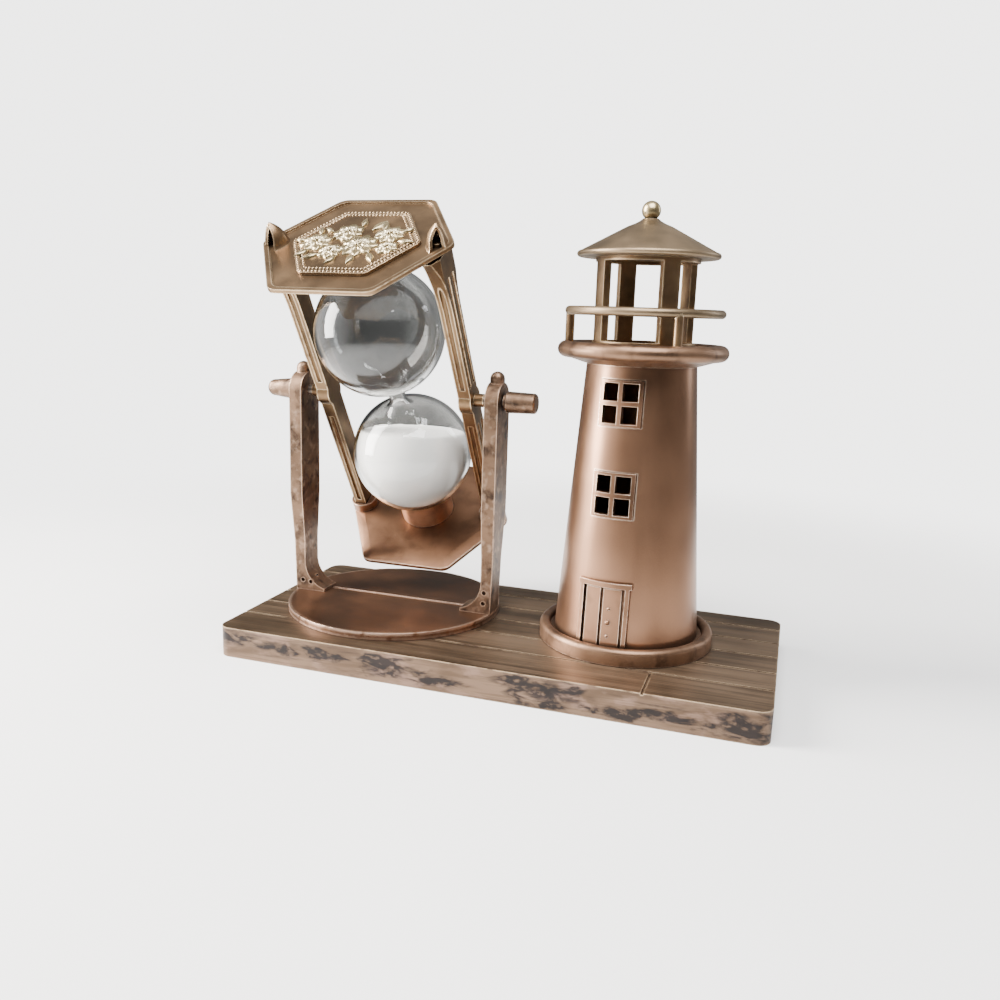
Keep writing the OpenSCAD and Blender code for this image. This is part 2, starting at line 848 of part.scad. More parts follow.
module right_knob() {
    color("#b08a6c") knob(1, 3.35, 3.15, 0.9);
}

// ---------- glass and sand ----------

// Half the outline of the two bulbs and their neck, drawn inwards by a given amount.
module bulbs_outline(inset) {
    fillet = (neck_r * neck_r + bulb_z * bulb_z - bulb_r * bulb_r) / (2 * (bulb_r - neck_r));
    share = bulb_r / (bulb_r + fillet);
    touch = [(neck_r + fillet) * share, bulb_z * (1 - share)];
    intersection() {
        translate([0, -2 * bulb_z]) square([2 * bulb_r, 4 * bulb_z]);
        for (z = [-1, 1]) translate([0, z * bulb_z]) circle(bulb_r - inset);
    }
    difference() {
        translate([0, -touch.y - inset]) square([touch.x, 2 * (touch.y + inset)]);
        translate([neck_r + fillet, 0]) circle(fillet + inset);
    }
}

module glass_bulbs() {
    color([0.85, 0.92, 0.92, 0.35]) swung() rotate_extrude() difference() {
        bulbs_outline(0);
        bulbs_outline(glass_t);
    }
}

// The sand lies level while the frame leans, so its surface is level with the table at rest.
module sand() {
    color("#f4f1ea") swung() intersection() {
        translate([0, 0, -bulb_z]) sphere(r = bulb_r - glass_t - slack);
        translate([0, 0, -bulb_z]) rotate([-tilt, 0, 0]) block(80, 80, sand_rise - 80, 80);
    }
}

// A cup on an end plate that holds the end of a bulb.
module glass_seat(end) {
    swung() on_end(end) difference() {
        translate([0, 0, bulb_z]) cylinder(r = seat_r, h = plate_in - bulb_z);
        translate([0, 0, bulb_z - overcut]) cylinder(r = seat_r - 1.4, h = plate_in - bulb_z + 2 * overcut);
        translate([0, 0, bulb_z]) sphere(r = bulb_r + 0.05);
    }
}

module top_glass_seat() {
    color("#b07a56") glass_seat(1);
}

module bottom_glass_seat() {
    color("#b07a56") glass_seat(-1);
}

base_board();
base_cover();
cover_screws();
stand_plate();
left_upright();
right_upright();
stand_screws();
tower_plinth();
tower_shell();
upper_window();
lower_window();
door_surround();
front_door();
tower_screws();
gallery_deck();
lantern_room();
gallery_rail();
rail_balusters();
roof();
roof_finial();
top_plate();
bottom_plate();
top_panel();
bottom_panel();
top_left_claw();
top_right_claw();
bottom_left_claw();
bottom_right_claw();
left_bar();
right_bar();
left_ferrule();
right_ferrule();
plate_screws();
left_pivot_pin();
right_pivot_pin();
left_knob();
right_knob();
top_glass_seat();
bottom_glass_seat();
glass_bulbs();
sand();
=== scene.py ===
"""Looks of the swinging hourglass and lighthouse ornament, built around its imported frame.

All lengths are in metres, in the frame's own axes: X along the base, -Y to the front, +Z up.
"""
import json
import math

import bmesh
import bpy
from mathutils import Matrix, Vector, noise

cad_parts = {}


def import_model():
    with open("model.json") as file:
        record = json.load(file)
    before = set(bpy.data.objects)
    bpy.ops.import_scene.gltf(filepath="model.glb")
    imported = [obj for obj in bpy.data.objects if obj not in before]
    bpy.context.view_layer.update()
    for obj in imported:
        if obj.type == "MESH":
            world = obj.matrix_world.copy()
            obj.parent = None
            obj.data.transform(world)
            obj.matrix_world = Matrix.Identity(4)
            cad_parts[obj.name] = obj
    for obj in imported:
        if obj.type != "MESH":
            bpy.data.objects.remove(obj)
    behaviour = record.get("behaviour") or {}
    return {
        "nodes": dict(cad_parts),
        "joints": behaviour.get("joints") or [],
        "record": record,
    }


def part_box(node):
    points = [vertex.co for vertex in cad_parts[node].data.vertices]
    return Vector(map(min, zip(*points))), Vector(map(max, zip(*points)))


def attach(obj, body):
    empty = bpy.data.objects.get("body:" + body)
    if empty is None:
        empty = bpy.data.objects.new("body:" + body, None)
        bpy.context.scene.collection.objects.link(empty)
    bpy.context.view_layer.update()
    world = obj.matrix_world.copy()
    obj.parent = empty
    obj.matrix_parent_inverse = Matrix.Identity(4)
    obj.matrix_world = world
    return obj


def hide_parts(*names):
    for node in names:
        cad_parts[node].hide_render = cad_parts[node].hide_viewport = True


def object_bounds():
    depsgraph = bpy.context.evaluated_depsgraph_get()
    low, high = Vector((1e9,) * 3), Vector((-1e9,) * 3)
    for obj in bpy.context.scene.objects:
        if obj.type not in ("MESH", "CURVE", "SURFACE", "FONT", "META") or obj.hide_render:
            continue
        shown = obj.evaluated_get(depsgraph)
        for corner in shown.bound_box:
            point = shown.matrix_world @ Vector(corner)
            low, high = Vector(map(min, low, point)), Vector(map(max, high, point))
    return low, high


MM = 0.001

# ---------- camera ----------
CAMERA_AT = Vector((80.3, -264.4, 107.4)) * MM
CAMERA_YAW = math.radians(17.8)      # turned from +Y towards -X
CAMERA_DOWN = math.radians(11.8)
CAMERA_ROLL = math.radians(1.9)
LENS = 32.66
SENSOR = 36

# ---------- the swinging frame, in its own axes ----------
TILT = math.radians(32.7)            # how far the top leans to the front at rest
BULB_R = 19.9 * MM
BULB_Z = 24.2 * MM                   # from the neck to a bulb's middle
NECK_R = 2.6 * MM
GLASS_T = 1.0 * MM
SAND_GAP = 0.1 * MM
SAND_RISE = 7.5 * MM
PLATE_FLOOR = 53.1 * MM              # from the pivot to an end plate's sunken face
PLATE_A = 30.0 * MM                  # an end plate's corners
PLATE_B = 15.2 * MM
PLATE_C = 25.9 * MM
PANEL_T = 1.0 * MM
PANEL_SHARE = 0.67
HOOD_X = 24.6 * MM
HOOD_R = 2.9 * MM
HOOD_H = 6.8 * MM
HOOD_WALL = 0.9 * MM
HOOD_STRETCH = 1.7                   # of a hood's front half
HOOD_MOUTH = -4.0 * MM               # where its mouth meets the plate
HOOD_TOP_MOUTH = -0.9 * MM           # and where it would reach the tip's height
HOOD_TURN = math.radians(22)         # of its mouth, from the front outwards
HOOD_FOOT = 0.5 * MM                 # how far its foot spreads onto the plate
HOOD_FOOT_FADE = 0.6 * MM            # and over what height
HOOD_LEAN_OUT = 0.9 * MM             # of its tip, away from the frame's middle
HOOD_LEAN_FRONT = 0.7 * MM
HOOD_RIM = 0.22 * MM                 # rounding of its mouth

# ---------- sand, relief and base ----------
SAND_HEAP = 0.9 * MM                 # how far its surface stands up in the middle
SAND_RIPPLE = 0.28 * MM
SAND_SINK = 0.15 * MM
CREASE_DEPTH = 0.4                   # of a petal's middle, as a share of its height
CREASE_WIDTH = 0.2                   # as a share of its half width
PETAL_RINGS = ((1.0, 1.0), (0.62, 1.45))    # a ring's size as a share, and its height in mm
PETAL_START = 0.1                    # of a flower's radius
PETAL_LENGTH = 0.95
PETAL_OVERLAP = 1.55                 # above about 1 the petals cover each other's sides
STAMENS = 6
BEAD_PITCH = 1.1 * MM
BEAD_R = 0.36 * MM
BORDER_INSETS = (0.025, 0.085)       # of the two rows of beads, as shares of the end plate
PANEL_EMBED = 0.05 * MM              # how deep the relief starts in the panel
FRONT_PLANK = 15.4 * MM              # from the base's front edge to the first groove
PLANK = 12.7 * MM

# ---------- colours, linear ----------
# Each *_SHADE colour darkens the patina stains, and as painted shade it also darkens the recesses.
GOLD_BRONZE = (0.25, 0.158, 0.086)
GOLD_SHADE = (0.030, 0.019, 0.011)
GOLD_WORN = (0.74, 0.57, 0.37)
CAST_BRONZE = (0.155, 0.095, 0.060)
CAST_SHADE = (0.022, 0.014, 0.011)
CAST_WORN = (0.56, 0.39, 0.28)
COPPER = (0.25, 0.136, 0.081)
RING_COPPER = (0.20, 0.118, 0.073)
COPPER_SHADE = (0.035, 0.020, 0.013)
COPPER_WORN = (0.86, 0.66, 0.52)
DARK_COPPER = (0.17, 0.085, 0.047)
PLATE_COPPER = (0.20, 0.105, 0.060)
# Painted light: the glass seat's copper is paler and brighter than the rest, so it reads lit where it sits
# in shade under the bulb.
PAINTED_LIT_SEAT_COPPER = (0.62, 0.38, 0.25)
DISC_WORN = (0.60, 0.42, 0.32)
BEAD_GOLD = (0.27, 0.175, 0.095)
FLUTED_GOLD = (0.17, 0.105, 0.055)
BRASS = (0.22, 0.158, 0.097)
BRASS_SHADE = (0.035, 0.026, 0.016)
BRASS_WORN = (0.66, 0.55, 0.37)
PALE_GOLD = (0.50, 0.39, 0.215)
PALE_GOLD_WORN = (0.93, 0.82, 0.57)
PLANK_DARK = (0.060, 0.039, 0.023)
PLANK_PALE = (0.22, 0.150, 0.098)
PLANK_WORN = (0.50, 0.37, 0.24)
SIDE_PALE = (0.155, 0.100, 0.066)
SIDE_TAN = (0.085, 0.053, 0.033)
SIDE_BLACK = (0.010, 0.009, 0.010)
SIDE_PINK = (0.22, 0.140, 0.105)

# ---------- studio ----------
KEY_TURN = math.radians(71)          # of the key light, from the front towards the left
KEY_RISE = math.radians(20)
KEY_AWAY = 0.62
KEY_SIZE = (0.24, 0.60)
KEY_WATTS = 23.5
TOP_AT = Vector((0.12, -0.30, 0.60))    # from the ornament's middle
TOP_SIZE = (0.55, 0.55)
TOP_WATTS = 14.5
RIM_TURN = math.radians(-125)
RIM_RISE = math.radians(18)
RIM_AWAY = 0.7
RIM_SIZE = (0.12, 0.40)
RIM_WATTS = 1.2
FLOOR_R = 0.4
FLOOR_FADE = (0.14, 0.38)            # where the floor starts to fade, and where it is gone
BACKDROP = 4.0                       # brightness of the surround as the camera sees it
ROOM_GLOW = 0.06                     # and as the metal and glass see it: everywhere,
SIDE_GLOW = 2.3                      # towards the key light,
CEILING_GLOW = 0.36                  # overhead,
BACK_GLOW = 0.26                     # behind on the right,
BACK_TURN = math.radians(-163)
RIGHT_GLOW = 0.2                     # on the right,
RIGHT_TURN = math.radians(-100)
GLOW_RISE = 0.15                     # how high the last two stand, in radians
LOW_GLOW = 0.1                       # and below


def frame_axes(yaw, down, roll):
    """Camera axes as a rotation: right, up and backwards as columns."""
    ahead = Vector((
        -math.sin(yaw) * math.cos(down),
        math.cos(yaw) * math.cos(down),
        -math.sin(down),
    ))
    level = Vector((math.cos(yaw), math.sin(yaw), 0))
    upright = level.cross(ahead)
    right = level * math.cos(roll) + upright * math.sin(roll)
    up = upright * math.cos(roll) - level * math.sin(roll)
    return Matrix((right, up, -ahead)).transposed().to_4x4()


def make_camera():
    """The camera that took the reference view."""
    data = bpy.data.cameras.new("camera")
    data.lens = LENS
    data.sensor_width = SENSOR
    camera = bpy.data.objects.new("camera", data)
    bpy.context.scene.collection.objects.link(camera)
    axes = frame_axes(CAMERA_YAW, CAMERA_DOWN, CAMERA_ROLL)
    camera.matrix_world = Matrix.Translation(CAMERA_AT) @ axes
    bpy.context.scene.camera = camera


# ---------- materials ----------

class NodeMaker:
    """Short calls that add and join the nodes of a material or of the world."""

    def __init__(self, owner):
        owner.use_nodes = True
        self.nodes = owner.node_tree.nodes
        self.links = owner.node_tree.links

    def put(self, node, socket, value):
        """Sets an input to a constant, or joins another node's output to it."""
        target = node.inputs[socket]
        if isinstance(value, bpy.types.NodeSocket):
            self.links.new(value, target)
        elif target.type == "RGBA":
            target.default_value = (*value[:3], 1)
        else:
            target.default_value = value

    def add(self, kind, inputs=None, **settings):
        """Adds a node, with its inputs and its own settings."""
        node = self.nodes.new("ShaderNode" + kind)
        for name, value in settings.items():
            setattr(node, name, value)
        for socket, value in (inputs or {}).items():
            self.put(node, socket, value)
        return node

    def ramp(self, value, low, high, to_low=0, to_high=1):
        """A value turned smoothly from one span into another, and held at its ends."""
        return self.add("MapRange", {
            "Value": value, "From Min": low, "From Max": high, "To Min": to_low, "To Max": to_high,
        }, interpolation_type="SMOOTHSTEP").outputs["Result"]

    def math(self, operation, first, second=0.0):
        """A sum, product or other plain calculation."""
        return self.add("Math", {0: first, 1: second}, operation=operation).outputs[0]

    def mix(self, share, first, second):
        """Two colours mixed, the second by the given share."""
        node = self.add("Mix", data_type="RGBA")
        self.put(node, 0, share)
        self.put(node, 6, first)
        self.put(node, 7, second)
        return node.outputs[2]


class Look(NodeMaker):
    """A material made of nodes around one Principled shader."""

    def __init__(self, name):
        self.material = bpy.data.materials.new(name)
        super().__init__(self.material)
        self.shader = self.nodes["Principled BSDF"]

    def spot(self, stretch=(1, 1, 1), shift=(0, 0, 0)):
        """The mesh's own coordinates, stretched."""
        coords = self.add("TexCoord").outputs["Object"]
        mapping = self.add("Mapping", {"Vector": coords, "Scale": stretch, "Location": shift})
        return mapping.outputs["Vector"]

    def noise(self, scale, detail=3, stretch=(1, 1, 1), distortion=0, shift=(0, 0, 0)):
        """Soft cloudy noise, centred on about 0.5."""
        return self.add("TexNoise", {
            "Vector": self.spot(stretch, shift), "Scale": scale, "Detail": detail,
            "Distortion": distortion,
        }).outputs[0]

    def hollow(self, distance, open_to=0.82, deep_from=0.25):
        """From 0 in the open to 1 deep in a corner, by ambient occlusion."""
        node = self.add("AmbientOcclusion", {"Distance": distance}, samples=8)
        return self.ramp(node.outputs["AO"], open_to, deep_from)

    def edge(self, radius):
        """From 0 on a flat face to 1 on an edge."""
        rounded = self.add("Bevel", {"Radius": radius}, samples=6).outputs["Normal"]
        normal = self.add("NewGeometry").outputs["Normal"]
        dot = self.add("VectorMath", {0: rounded, 1: normal}, operation="DOT_PRODUCT")
        return self.ramp(dot.outputs["Value"], 0.992, 0.93)

    def bump(self, height, strength, distance, under=None):
        """A normal bent by a height, on top of another bump's normal if there is one."""
        inputs = {"Height": height, "Strength": strength, "Distance": distance}
        if under is not None:
            inputs["Normal"] = under
        return self.add("Bump", inputs).outputs["Normal"]

    def finish(self, **sockets):
        """Sets the shader's sockets and gives the material."""
        for name, value in sockets.items():
            self.put(self.shader, name.replace("_", " "), value)
        return self.material


def antique_metal(name, body, shade, worn, roughness=0.34, wear=0.8, patina=0.35, bare=0.0,
                  cloudy=5, mottle=0.3, patches=130, reach=3.0 * MM, patina_and_shade=(0.82, 0.25), pits=0.12,
                  rim=0.7 * MM):
    """Sprayed antique metal: cloudy body colour, recesses darkened with patina and painted shade, rubbed
    bright edges, fine grain.

    patina and bare say how much of it is stained and rubbed bare, patches how finely, cloudy
    how ragged the clouds in its colour are, and mottle how dark.
    reach and the recess ramp say how far and how fast the recesses darken with patina and painted shade,
    pits how rough the casting is, and rim how wide its edges are rubbed.
    """
    look = Look(name)
    clouds = look.noise(55, detail=cloudy)
    deep = tuple((1 - mottle) * c for c in body)
    light = tuple(min(1, 1.2 * c) for c in body)
    colour = look.mix(look.ramp(clouds, 0.3, 0.7), deep, light)
    if patina:
        stains = look.noise(patches, detail=6, distortion=0.4)
        colour = look.mix(look.ramp(stains, 0.46, 0.74, 0, patina), colour, shade)
    if bare:
        spots = look.ramp(look.noise(1.7 * patches, detail=5, shift=(3, 1, 2)), 0.5, 0.72, 0, bare)
        colour = look.mix(spots, colour, worn)
    grain = look.noise(2600, detail=2)
    colour = look.mix(look.ramp(grain, 0.35, 0.75, 0, 0.16), colour, light)
    # Patina and painted shade: darker in recesses and where parts meet, by ambient occlusion.
    corners = look.hollow(reach, *patina_and_shade)
    colour = look.mix(look.math("MULTIPLY", corners, 0.85), colour, shade)
    broken = look.ramp(look.noise(420, detail=4), 0.22, 0.5)
    open_edge = look.math("MULTIPLY", look.edge(rim), look.math("SUBTRACT", 1, corners))
    rubbed = look.math("MULTIPLY", look.math("MULTIPLY", open_edge, broken), wear)
    colour = look.mix(rubbed, colour, worn)
    dull = look.ramp(clouds, 0.25, 0.75, roughness - 0.17 * mottle, roughness + 0.23 * mottle)
    rough = look.math("ADD", dull, look.math("MULTIPLY", corners, 0.2))
    fine = look.bump(grain, 0.12, 0.05 * MM)
    normal = look.bump(look.noise(2 * patches, detail=3), pits, 0.4 * MM, fine)
    return look.finish(Base_Color=colour, Roughness=rough, Normal=normal, Metallic=0.92)


def plain_metal(name, colour, roughness):
    """Plain bright screw steel with turning marks."""
    look = Look(name)
    marks = look.noise(900, detail=2, stretch=(1, 1, 6))
    shade = tuple(0.6 * c for c in colour)
    tone = look.mix(look.ramp(marks, 0.3, 0.7), shade, colour)
    return look.finish(
        Base_Color=tone, Roughness=roughness, Metallic=1.0,
        Normal=look.bump(marks, 0.1, 0.05 * MM))


def dark_moulding(name):
    """Matte dark moulded cover under the base."""
    look = Look(name)
    grain = look.noise(1500, detail=3)
    tone = look.mix(look.ramp(grain, 0.3, 0.7), (0.020, 0.015, 0.012), (0.036, 0.028, 0.022))
    return look.finish(
        Base_Color=tone, Roughness=0.62, Normal=look.bump(grain, 0.25, 0.08 * MM))


# Places along the base's front where the paint is worn to black: middle X, middle Z and half sizes, in mm.
WORN_PATCHES = [
    (-75, 7.0, 6, 1.6), (-62, 5.2, 9, 1.6), (-47, 5.6, 6, 1.8), (-25, 5.2, 9, 2.8), (-8, 3.4, 6, 1.2),
    (13, 6.0, 6, 2.2), (23, 4.8, 8.5, 3.6), (43, 2.8, 7, 1.6), (57, 3.6, 9, 1.5), (76, 4.6, 6.5, 4.2),
]


def worn_patches(look, blur):
    """From 0 outside the worn patches to 1 in their middles, with ragged edges."""
    xyz = look.add("SeparateXYZ", {0: look.spot()})
    total = None
    for x, z, half_x, half_z in WORN_PATCHES:
        along = look.math("DIVIDE", look.math("SUBTRACT", xyz.outputs["X"], x * MM), half_x * MM)
        up = look.math("DIVIDE", look.math("SUBTRACT", xyz.outputs["Z"], z * MM), half_z * MM)
        reach = look.math("SQRT", look.math(
            "ADD", look.math("MULTIPLY", along, along), look.math("MULTIPLY", up, up)))
        one = look.ramp(look.math("ADD", reach, blur), 1.45, 0.6)
        total = one if total is None else look.math("MAXIMUM", total, one)
    return total


def plank_paint(name, first_groove, plank_w):
    """Bronze-painted planks on top, distressed pale copper and black on the sides, with dark joints and
    painted shade in the grooves and painted shade where other parts stand on them.
    """
    look = Look(name)
    xyz = look.add("SeparateXYZ", {0: look.spot()})
    steps = look.math("DIVIDE", look.math("SUBTRACT", xyz.outputs["Y"], first_groove), plank_w)
    plank = look.math("FLOOR", steps)
    tone = look.add("TexWhiteNoise", {"W": plank}, noise_dimensions="1D").outputs["Value"]

    streaks = look.noise(1, detail=6, stretch=(22, 1500, 300), distortion=0.3)
    broad = look.noise(1, detail=3, stretch=(12, 260, 60))
    clouds = look.noise(38, detail=4)
    share = look.math("ADD", look.math("MULTIPLY", streaks, 0.55), look.math("MULTIPLY", broad, 0.45))
    share = look.math("ADD", share, look.math("MULTIPLY", look.math("SUBTRACT", tone, 0.5), 0.10))
    share = look.math("ADD", share, look.math("MULTIPLY", look.math("SUBTRACT", clouds, 0.5), 0.5))
    top = look.mix(look.ramp(share, 0.3, 0.72), PLANK_DARK, PLANK_PALE)
    glint = look.ramp(look.noise(1, detail=4, stretch=(30, 2600, 300), shift=(5, 0, 0)), 0.62, 0.78)
    top = look.mix(look.math("MULTIPLY", glint, 0.35), top, PLANK_WORN)

    ragged = look.math("MULTIPLY", look.math(
        "SUBTRACT", look.noise(1, detail=7, stretch=(150, 200, 420), distortion=0.6), 0.5), 4.0)
    patches = worn_patches(look, ragged)
    stray = look.ramp(look.noise(1, detail=6, stretch=(60, 110, 340), distortion=0.5), 0.54, 0.72, 0, 0.7)
    base = look.mix(
        look.ramp(look.noise(1, detail=5, stretch=(45, 70, 200), distortion=0.5), 0.36, 0.62),
        SIDE_TAN, SIDE_PALE)
    pink = look.ramp(look.noise(1, detail=5, stretch=(110, 140, 260), shift=(4, 0, 0)), 0.5, 0.66, 0, 0.7)
    base = look.mix(pink, base, SIDE_PINK)
    scratches = look.ramp(look.noise(1, detail=5, stretch=(60, 80, 1500)), 0.5, 0.68, 0, 0.6)
    base = look.mix(scratches, base, SIDE_TAN)
    black = look.math("MAXIMUM", patches, stray)
    flakes = look.ramp(look.noise(1, detail=6, stretch=(380, 400, 700)), 0.72, 0.5, 0.25, 1)
    black = look.math("MULTIPLY", look.math("MULTIPLY", black, flakes), 0.93)
    side = look.mix(black, base, SIDE_BLACK)

    normal_z = look.add("SeparateXYZ", {0: look.add("NewGeometry").outputs["Normal"]}).outputs["Z"]
    facing_up = look.ramp(normal_z, 0.35, 0.8)
    colour = look.mix(facing_up, side, top)
    # Dark joints and painted shade in the grooves, and painted shade where other parts stand on the base,
    # by ambient occlusion.
    corners = look.hollow(1.6 * MM)
    colour = look.mix(look.math("MULTIPLY", corners, 0.8), colour, (0.03, 0.018, 0.012))
    broken = look.ramp(look.noise(260, detail=5), 0.3, 0.55)
    rubbed = look.math("MULTIPLY", look.edge(0.7 * MM), look.math("SUBTRACT", 1, corners))
    rubbed = look.math("MULTIPLY", look.math("MULTIPLY", rubbed, broken), 0.85)
    colour = look.mix(rubbed, colour, PLANK_WORN)

    metal = look.ramp(normal_z, 0.35, 0.8, 0.35, 0.8)
    rough = look.math("ADD", look.ramp(streaks, 0.3, 0.7, 0.34, 0.48), look.math(
        "MULTIPLY", look.math("SUBTRACT", 1, facing_up), 0.14))
    grain = look.bump(streaks, 0.35, 0.12 * MM)
    normal = look.bump(look.math("MULTIPLY", black, look.math("SUBTRACT", 1, facing_up)),
                       0.5, 0.15 * MM, grain)
    return look.finish(Base_Color=colour, Roughness=rough, Metallic=metal, Normal=normal,
                       Specular_IOR_Level=0.2)


def clear_glass(name):
    """Blown glass: clear, faintly grey and uneven. It lets the lamps' light through to the sand."""
    look = Look(name)
    waves = look.noise(45, detail=1)
    look.finish(
        Base_Color=(0.78, 0.79, 0.785), Roughness=0.012, IOR=1.47, Transmission_Weight=1.0,
        Normal=look.bump(waves, 0.06, 0.6 * MM))
    clear = look.add("BsdfTransparent", {"Color": (0.9, 0.9, 0.9)})
    shadow = look.add("LightPath").outputs["Is Shadow Ray"]
    either = look.add("MixShader", {0: shadow, 1: look.shader.outputs[0], 2: clear.outputs[0]})
    look.links.new(either.outputs[0], look.nodes["Material Output"].inputs["Surface"])
    return look.material


def white_sand(name):
    """Fine white sand: grains in colour and bump."""
    look = Look(name)
    grains = look.add("TexVoronoi", {"Vector": look.spot(), "Scale": 4200}).outputs["Distance"]
    specks = look.ramp(look.noise(5200, detail=1), 0.3, 0.75)
    drifts = look.ramp(look.noise(160, detail=4), 0.3, 0.7)
    colour = look.mix(specks, (0.76, 0.74, 0.71), (0.96, 0.94, 0.92))
    colour = look.mix(look.math("MULTIPLY", drifts, 0.25), colour, (0.97, 0.96, 0.94))
    return look.finish(
        Base_Color=colour, Roughness=0.85, Normal=look.bump(grains, 0.5, 0.12 * MM))


# ---------- mesh helpers ----------

def add_lathe(bm, profile, turns):
    """Turns a profile of (radius, height) points about Z. A point with no radius becomes a pole."""
    rings = []
    for radius, height in profile:
        if radius < 1e-7:
            rings.append([bm.verts.new((0, 0, height))])
            continue
        rings.append([
            bm.verts.new((
                radius * math.cos(math.tau * i / turns),
                radius * math.sin(math.tau * i / turns),
                height,
            ))
            for i in range(turns)
        ])
    faces = []
    for low, high in zip(rings, rings[1:]):
        for i in range(turns):
            j = (i + 1) % turns
            corners = [low[i % len(low)], low[j % len(low)], high[j % len(high)], high[i % len(high)]]
            unique = list(dict.fromkeys(corners))
            if len(unique) > 2:
                faces.append(bm.faces.new(unique))
    return faces


def make_piece(name, bm, material, body, place):
    """Makes an object of a bmesh, puts it in place and lets it ride on a body."""
    mesh = bpy.data.meshes.new(name)
    bm.to_mesh(mesh)
    bm.free()
    mesh.transform(place)
    for polygon in mesh.polygons:
        polygon.use_smooth = True
    mesh.materials.append(material)
    piece = bpy.data.objects.new(name, mesh)
    bpy.context.scene.collection.objects.link(piece)
    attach(piece, body)
    return piece


def weld_group():
    """Geometry nodes that join a CAD mesh's faces at their shared edges and shade them smooth."""
    group = bpy.data.node_groups.new("weld_faces", "GeometryNodeTree")
    group.interface.new_socket("Geometry", in_out="INPUT", socket_type="NodeSocketGeometry")
    group.interface.new_socket("Geometry", in_out="OUTPUT", socket_type="NodeSocketGeometry")
    source = group.nodes.new("NodeGroupInput")
    merge = group.nodes.new("GeometryNodeMergeByDistance")
    merge.inputs["Distance"].default_value = 2e-6
    strip = group.nodes.new("GeometryNodeRemoveAttribute")
    strip.inputs["Name"].default_value = "custom_normal"
    smooth = group.nodes.new("GeometryNodeSetShadeSmooth")
    result = group.nodes.new("NodeGroupOutput")
    chain = [source, merge, strip, smooth, result]
    for before, after in zip(chain, chain[1:]):
        group.links.new(before.outputs["Geometry"], after.inputs["Geometry"])
    return group


def soften(obj, weld, width):
    """Rounds a CAD node's edges with modifiers, leaving its mesh as it is."""
    obj.modifiers.new("weld", "NODES").node_group = weld
    flatten = obj.modifiers.new("flatten", "DECIMATE")
    flatten.decimate_type = "DISSOLVE"
    flatten.angle_limit = math.radians(0.4)
    bevel = obj.modifiers.new("edges", "BEVEL")
    bevel.width = width
    bevel.segments = 2
    bevel.limit_method = "ANGLE"
    bevel.angle_limit = math.radians(28)
    bevel.harden_normals = True
    bevel.use_clamp_overlap = True


# ---------- glass and sand ----------

def bulb_profile(inset, steps=40):
    """Both bulbs and their neck, from the bottom pole to the top one, drawn inwards by inset."""
    fillet = (NECK_R ** 2 + BULB_Z ** 2 - BULB_R ** 2) / (2 * (BULB_R - NECK_R))
    join = math.atan2(BULB_Z, NECK_R + fillet)
    lower = []
    for i in range(steps + 1):
        turn = -math.pi / 2 + (join + math.pi / 2) * i / steps
        radius = (BULB_R - inset) * math.cos(turn)
        lower.append((max(radius, 0), -BULB_Z + (BULB_R - inset) * math.sin(turn)))
    lower[0] = (0, lower[0][1])
    waist = []
    for i in range(1, steps // 2):
        turn = math.pi + join - 2 * join * i / (steps // 2)
        waist.append((NECK_R + fillet + (fillet + inset) * math.cos(turn),
                      (fillet + inset) * math.sin(turn)))
    upper = [(radius, -height) for radius, height in reversed(lower)]
    return lower + waist + upper


def make_glass(material, swing):
    """The blown vessel: an outer and an inner skin, one wall apart."""
    bm = bmesh.new()
    outer = add_lathe(bm, bulb_profile(0), turns=128)
    inner = add_lathe(bm, bulb_profile(GLASS_T), turns=128)
    bmesh.ops.recalc_face_normals(bm, faces=outer)
    bmesh.ops.recalc_face_normals(bm, faces=inner)
    bmesh.ops.reverse_faces(bm, faces=inner)
    piece = make_piece("blown_glass", bm, material, "hourglass", swing)
    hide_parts("glass_bulbs")


def make_sand(material, swing):
    """Sand in the lower bulb, level with the table at rest, with a slightly uneven surface."""
    radius = BULB_R - GLASS_T - SAND_GAP
    level_r = math.sqrt(radius ** 2 - SAND_RISE ** 2)
    rise = math.asin(SAND_RISE / radius)
    side_steps = 40
    top_steps = 28
    profile = []
    for i in range(side_steps + 1):
        turn = -math.pi / 2 + (rise + math.pi / 2) * i / side_steps
        profile.append((max(radius * math.cos(turn), 0), radius * math.sin(turn)))
    profile[0] = (0, -radius)
    for i in range(1, top_steps + 1):
        share = 1 - i / top_steps
        profile.append((level_r * share, SAND_RISE))
    bm = bmesh.new()
    add_lathe(bm, profile, turns=120)
    for vert in bm.verts:
        reach = math.hypot(vert.co.x, vert.co.y) / level_r
        if vert.co.z > SAND_RISE - 1e-6:
            heap = SAND_HEAP * (1 - reach ** 2)
            ripple = noise.fractal(vert.co * 260, 0.8, 2.0, 4) * SAND_RIPPLE
            vert.co.z += (heap + ripple) * min(1, 6 * (1 - reach)) - SAND_SINK
    bmesh.ops.recalc_face_normals(bm, faces=bm.faces)
    middle = swing @ Vector((0, 0, -BULB_Z))
    piece = make_piece("white_sand_fill", bm, material, "hourglass",
                       Matrix.Translation(middle))
    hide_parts("sand")


# ---------- embossed panels ----------

def hexagon(share):
    """Corners of an end plate's outline, scaled."""
    corners = [(PLATE_A, 0), (PLATE_B, PLATE_C), (-PLATE_B, PLATE_C),
               (-PLATE_A, 0), (-PLATE_B, -PLATE_C), (PLATE_B, -PLATE_C)]
    return [Vector((x * share, y * share, 0)) for x, y in corners]


